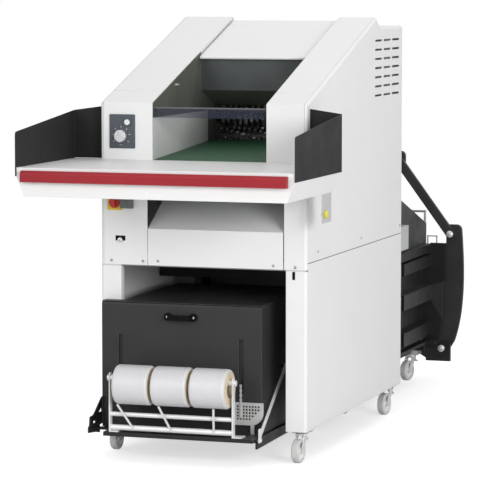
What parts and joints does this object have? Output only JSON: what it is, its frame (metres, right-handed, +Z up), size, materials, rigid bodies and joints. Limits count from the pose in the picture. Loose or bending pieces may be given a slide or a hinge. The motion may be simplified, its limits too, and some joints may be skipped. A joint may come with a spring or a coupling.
{
  "type": "document shredder with channel baler",
  "caption": "Feed table shredder on a wheeled stand over a low horizontal channel baler with strap rolls, squeeze yokes and casters.",
  "frame": {"origin": "centre of the footprint at floor level", "axes": "+X to the right seen from the feed table, +Y to the rear, +Z up"},
  "size_m": [1.18, 3.25, 1.83],
  "materials": {
    "casing_white": "satin powder coat, near white",
    "inner_dark": "dark grey paint",
    "flap_clear": "clear sheet",
    "belt_green": "green woven belt",
    "cutter_steel": "hardened steel",
    "plain_steel": "plain steel",
    "bar_red": "dark red",
    "charcoal": "charcoal satin powder coat",
    "plate_blue_grey": "dark blue-grey",
    "knob_silver": "satin silver",
    "button_silver": "silver white",
    "switch_red": "red",
    "zinc": "zinc plated",
    "wheel_grey": "grey tread, pale hub",
    "black_paint": "black paint",
    "strap_white": "white woven strapping",
    "guard_grey": "light grey perforated sheet",
    "black_plastic": "black plastic"
  },
  "bodies": {
    "machine": {"base_frame": "black_paint", "chain_guard": "guard_grey", "channel_roof": "black_paint", "channel_underframe": "black_paint", "control_plate": "plate_blue_grey", "conveyor_belt": "belt_green", "cover_handle": "black_plastic", "feed_chute": "black_paint", "feed_table": "casing_white", "front_cover": "charcoal", "front_panel_centre": "casing_white", "front_panel_left": "casing_white", "guard_left": "charcoal", "guard_right": "charcoal", "hood_centre_panel": "casing_white", "hood_left_panel": "casing_white", "hood_right_panel": "casing_white", "hopper_liner": "inner_dark", "machine_frame": "inner_dark", "press_channel": "black_paint", "ram_cylinder": "black_paint", "rear_panel": "casing_white", "roll_holder": "zinc", "side_panel_left": "casing_white", "side_panel_right": "casing_white", "stand_side_left": "casing_white", "stand_side_right": "casing_white", "strap_ends": "strap_white", "top_housing": "black_paint"},
    "stop_bar_body": {"stop_bar": "bar_red"},
    "feed_flap_body": {"feed_flap": "flap_clear"},
    "belt_roller_body": {"belt_roller": "plain_steel"},
    "cutter_lower_body": {"cutter_roller_lower": "cutter_steel"},
    "cutter_upper_body": {"cutter_roller_upper": "cutter_steel"},
    "selector_knob_body": {"selector_knob": "knob_silver"},
    "push_button_body": {"push_button": "button_silver"},
    "main_switch_body": {"main_switch_handle": "switch_red"},
    "press_ram_body": {"press_ram": "black_paint"},
    "crosshead_body": {"crosshead": "black_paint"},
    "yoke_right_body": {"yoke_right": "black_paint"},
    "yoke_left_body": {"yoke_left": "black_paint"},
    "link_right_body": {"link_right": "black_paint"},
    "link_left_body": {"link_left": "black_paint"},
    "squeeze_flap_right_body": {"squeeze_flap_right": "black_paint"},
    "squeeze_flap_left_body": {"squeeze_flap_left": "black_paint"},
    "strap_roll_1_body": {"strap_roll_1": "strap_white"},
    "strap_roll_2_body": {"strap_roll_2": "strap_white"},
    "strap_roll_3_body": {"strap_roll_3": "strap_white"},
    "caster_fork_front_right_body": {"caster_fork_front_right": "zinc"},
    "caster_wheel_front_right_body": {"caster_wheel_front_right": "wheel_grey"},
    "caster_fork_rear_right_body": {"caster_fork_rear_right": "zinc"},
    "caster_wheel_rear_right_body": {"caster_wheel_rear_right": "wheel_grey"},
    "caster_fork_front_left_body": {"caster_fork_front_left": "zinc"},
    "caster_wheel_front_left_body": {"caster_wheel_front_left": "wheel_grey"},
    "caster_fork_rear_left_body": {"caster_fork_rear_left": "zinc"},
    "caster_wheel_rear_left_body": {"caster_wheel_rear_left": "wheel_grey"},
    "baler_fork_right_body": {"baler_fork_right": "zinc"},
    "baler_wheel_right_body": {"baler_wheel_right": "wheel_grey"},
    "baler_fork_left_body": {"baler_fork_left": "zinc"},
    "baler_wheel_left_body": {"baler_wheel_left": "wheel_grey"}
  },
  "joints": [
    {"name": "stop_bar_press", "type": "slide", "parent": "machine", "child": "stop_bar_body", "axis": [0, 1, 0], "range_m": [0, 0.005], "stiffness_N_per_m": 2500},
    {"name": "feed_flap_swing", "type": "hinge", "parent": "machine", "child": "feed_flap_body", "pos_m": [0.028, -0.985, 1.465], "axis": [1, 0, 0], "range_deg": [0, 70]},
    {"name": "belt_roller_spin", "type": "hinge", "parent": "machine", "child": "belt_roller_body", "pos_m": [0.028, -0.225, 1.272], "axis": [1, 0, 0], "continuous": true},
    {"name": "cutter_lower_spin", "type": "hinge", "parent": "machine", "child": "cutter_lower_body", "pos_m": [0.028, -0.113, 1.292], "axis": [1, 0, 0], "continuous": true},
    {"name": "cutter_upper_spin", "type": "hinge", "parent": "machine", "child": "cutter_upper_body", "pos_m": [0.028, -0.113, 1.39], "axis": [1, 0, 0], "continuous": true},
    {"name": "selector_turn", "type": "hinge", "parent": "machine", "child": "selector_knob_body", "pos_m": [-0.3605, -1, 1.346], "axis": [0, 1, 0], "range_deg": [-135, 135]},
    {"name": "push_button_press", "type": "slide", "parent": "machine", "child": "push_button_body", "axis": [0, 1, 0], "range_m": [0, 0.003], "stiffness_N_per_m": 600},
    {"name": "main_switch_turn", "type": "hinge", "parent": "machine", "child": "main_switch_body", "pos_m": [-0.3885, -1, 1.0665], "axis": [0, 1, 0], "range_deg": [0, 90]},
    {"name": "ram_stroke", "type": "slide", "parent": "machine", "child": "press_ram_body", "axis": [0, 1, 0], "range_m": [0, 0.42]},
    {"name": "crosshead_lift", "type": "slide", "parent": "machine", "child": "crosshead_body", "axis": [0, 0, 1], "range_m": [0, 0.02]},
    {"name": "yoke_right_pull", "type": "hinge", "parent": "machine", "child": "yoke_right_body", "pos_m": [0.381, 1.594, 0.155], "axis": [0, -1, 0], "range_deg": [0, 2.76]},
    {"name": "yoke_left_pull", "type": "hinge", "parent": "machine", "child": "yoke_left_body", "pos_m": [-0.325, 1.594, 0.155], "axis": [0, 1, 0], "range_deg": [0, 2.76]},
    {"name": "link_right_swing", "type": "hinge", "parent": "crosshead_body", "child": "link_right_body", "pos_m": [0.145, 1.57, 1.103], "axis": [0, 1, 0], "range_deg": [0, 4.14]},
    {"name": "link_left_swing", "type": "hinge", "parent": "crosshead_body", "child": "link_left_body", "pos_m": [-0.089, 1.57, 1.103], "axis": [0, -1, 0], "range_deg": [0, 4.14]},
    {"name": "squeeze_right", "type": "hinge", "parent": "machine", "child": "squeeze_flap_right_body", "pos_m": [0.298, 1.004, 0.42], "axis": [0, 0, 1], "range_deg": [0, 1.31]},
    {"name": "squeeze_left", "type": "hinge", "parent": "machine", "child": "squeeze_flap_left_body", "pos_m": [-0.242, 1.004, 0.42], "axis": [0, 0, -1], "range_deg": [0, 1.31]},
    {"name": "strap_roll_1_spin", "type": "hinge", "parent": "machine", "child": "strap_roll_1_body", "pos_m": [-0.2285, -1.2, 0.326], "axis": [1, 0, 0], "continuous": true},
    {"name": "strap_roll_2_spin", "type": "hinge", "parent": "machine", "child": "strap_roll_2_body", "pos_m": [-0.06, -1.2, 0.326], "axis": [1, 0, 0], "continuous": true},
    {"name": "strap_roll_3_spin", "type": "hinge", "parent": "machine", "child": "strap_roll_3_body", "pos_m": [0.1085, -1.2, 0.326], "axis": [1, 0, 0], "continuous": true},
    {"name": "caster_swivel_front_right", "type": "hinge", "parent": "machine", "child": "caster_fork_front_right_body", "pos_m": [0.42, -0.955, 0.12], "axis": [0, 0, 1], "continuous": true},
    {"name": "caster_roll_front_right", "type": "hinge", "parent": "caster_fork_front_right_body", "child": "caster_wheel_front_right_body", "pos_m": [0.41775, -0.99794, 0.05], "axis": [0.9986, -0.0523, 0], "continuous": true},
    {"name": "caster_swivel_rear_right", "type": "hinge", "parent": "machine", "child": "caster_fork_rear_right_body", "pos_m": [0.42, 0.4, 0.12], "axis": [0, 0, 1], "continuous": true},
    {"name": "caster_roll_rear_right", "type": "hinge", "parent": "caster_fork_rear_right_body", "child": "caster_wheel_rear_right_body", "pos_m": [0.41476, 0.35732, 0.05], "axis": [0.9925, -0.1219, 0], "continuous": true},
    {"name": "caster_swivel_front_left", "type": "hinge", "parent": "machine", "child": "caster_fork_front_left_body", "pos_m": [-0.42, -0.955, 0.12], "axis": [0, 0, 1], "continuous": true},
    {"name": "caster_roll_front_left", "type": "hinge", "parent": "caster_fork_front_left_body", "child": "caster_wheel_front_left_body", "pos_m": [-0.42, -0.912, 0.05], "axis": [-1, 0, 0], "continuous": true},
    {"name": "caster_swivel_rear_left", "type": "hinge", "parent": "machine", "child": "caster_fork_rear_left_body", "pos_m": [-0.42, 0.4, 0.12], "axis": [0, 0, 1], "continuous": true},
    {"name": "caster_roll_rear_left", "type": "hinge", "parent": "caster_fork_rear_left_body", "child": "caster_wheel_rear_left_body", "pos_m": [-0.39534, 0.36478, 0.05], "axis": [0.8192, 0.5736, 0], "continuous": true},
    {"name": "baler_swivel_right", "type": "hinge", "parent": "machine", "child": "baler_fork_right_body", "pos_m": [0.24, 1.5, 0.12], "axis": [0, 0, 1], "continuous": true},
    {"name": "baler_roll_right", "type": "hinge", "parent": "baler_fork_right_body", "child": "baler_wheel_right_body", "pos_m": [0.23033, 1.4581, 0.05], "axis": [0.9744, -0.225, 0], "continuous": true},
    {"name": "baler_swivel_left", "type": "hinge", "parent": "machine", "child": "baler_fork_left_body", "pos_m": [-0.184, 1.5, 0.12], "axis": [0, 0, 1], "continuous": true},
    {"name": "baler_roll_left", "type": "hinge", "parent": "baler_fork_left_body", "child": "baler_wheel_left_body", "pos_m": [-0.17653, 1.45765, 0.05], "axis": [0.9848, 0.1736, 0], "continuous": true}
  ],
  "couplings": [
    {"joint": "cutter_upper_spin", "follows": "cutter_lower_spin", "ratio": -1},
    {"joint": "yoke_right_pull", "follows": "crosshead_lift", "rad_per_m": 2.3633},
    {"joint": "yoke_left_pull", "follows": "crosshead_lift", "rad_per_m": 2.3633},
    {"joint": "link_right_swing", "follows": "crosshead_lift", "rad_per_m": 3.5723},
    {"joint": "link_left_swing", "follows": "crosshead_lift", "rad_per_m": 3.5723},
    {"joint": "squeeze_right", "follows": "crosshead_lift", "rad_per_m": 1.1},
    {"joint": "squeeze_left", "follows": "crosshead_lift", "rad_per_m": 1.1}
  ]
}
